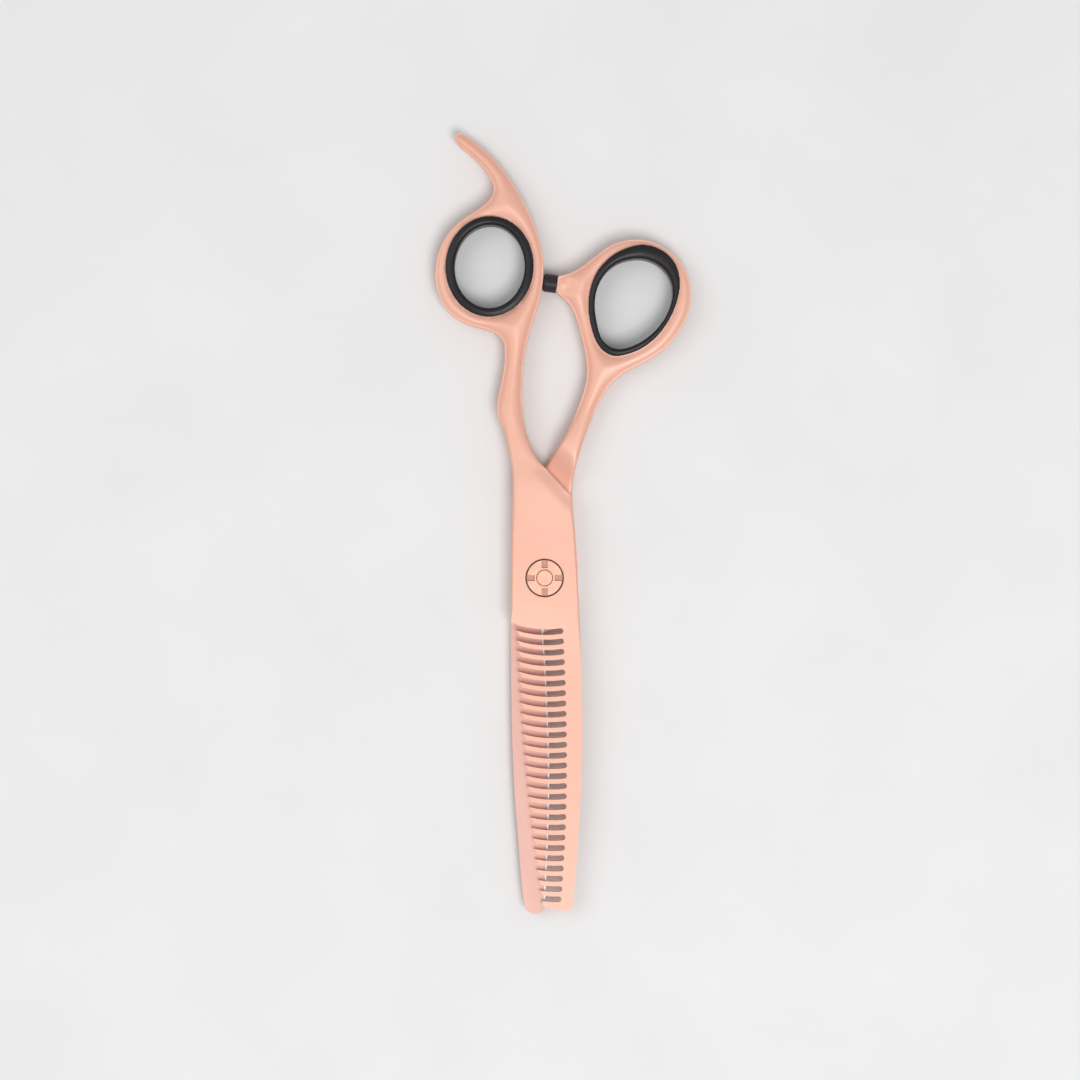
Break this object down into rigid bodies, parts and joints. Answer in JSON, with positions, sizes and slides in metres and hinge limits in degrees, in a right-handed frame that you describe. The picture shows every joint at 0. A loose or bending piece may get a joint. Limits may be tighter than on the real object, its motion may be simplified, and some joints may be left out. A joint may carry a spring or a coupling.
{
  "type": "thinning shears",
  "caption": "Hairdresser's thinning shears in satin rose gold: toothed comb blade over a plain blade, offset black-lined rings, fixed finger rest, flat adjustable pivot nut.",
  "frame": {"origin": "on the pivot axis, at the flat back of the lower ricasso and bolt head, which is the plane the shears rest on", "axes": "+Y from the pivot towards the rings, -Y towards the blade tips; +X towards the thumb ring; +Z along the pivot axis, out of the face with the tension nut"},
  "size_m": [0.0554, 0.1694, 0.0069],
  "materials": {
    "rose_gold_coat": "satin",
    "rose_gold_nut": "brushed",
    "bare_steel": "polished",
    "black_rubber": "smooth, slightly glossy",
    "bumper_rubber": "smooth, slightly glossy",
    "cage_brass": "plain",
    "white_plastic": "low friction"
  },
  "bodies": {
    "finger_half": {"comb_blade_half": "rose_gold_coat", "finger_ring_insert": "black_rubber", "pivot_bush": "white_plastic", "lower_race": "bare_steel"},
    "thumb_half": {"cutting_blade_half": "rose_gold_coat", "thumb_ring_insert": "black_rubber", "bumper": "bumper_rubber", "pivot_bolt": "rose_gold_nut", "ride_washer": "white_plastic", "upper_race": "bare_steel", "wave_washer": "bare_steel"},
    "nut": {"tension_nut": "rose_gold_nut"},
    "ball_ring": {"ball_cage": "cage_brass", "bearing_ball_1": "bare_steel", "bearing_ball_2": "bare_steel", "bearing_ball_3": "bare_steel", "bearing_ball_4": "bare_steel", "bearing_ball_5": "bare_steel", "bearing_ball_6": "bare_steel", "bearing_ball_7": "bare_steel", "bearing_ball_8": "bare_steel"}
  },
  "joints": [
    {"name": "blade_pivot", "type": "hinge", "parent": "finger_half", "child": "thumb_half", "pos_m": [0, 0, 0.00335], "axis": [0, 0, -1], "range_deg": [0, 100]},
    {"name": "nut_turn", "type": "hinge", "parent": "thumb_half", "child": "nut", "pos_m": [0, 0, 0.0064], "axis": [0, 0, -1], "range_deg": [-30, 90]},
    {"name": "ball_ring_roll", "type": "hinge", "parent": "finger_half", "child": "ball_ring", "pos_m": [0, 0, 0.005], "axis": [0, 0, -1], "range_deg": [0, 50]}
  ],
  "couplings": [
    {"joint": "ball_ring_roll", "follows": "blade_pivot", "ratio": 0.5}
  ]
}
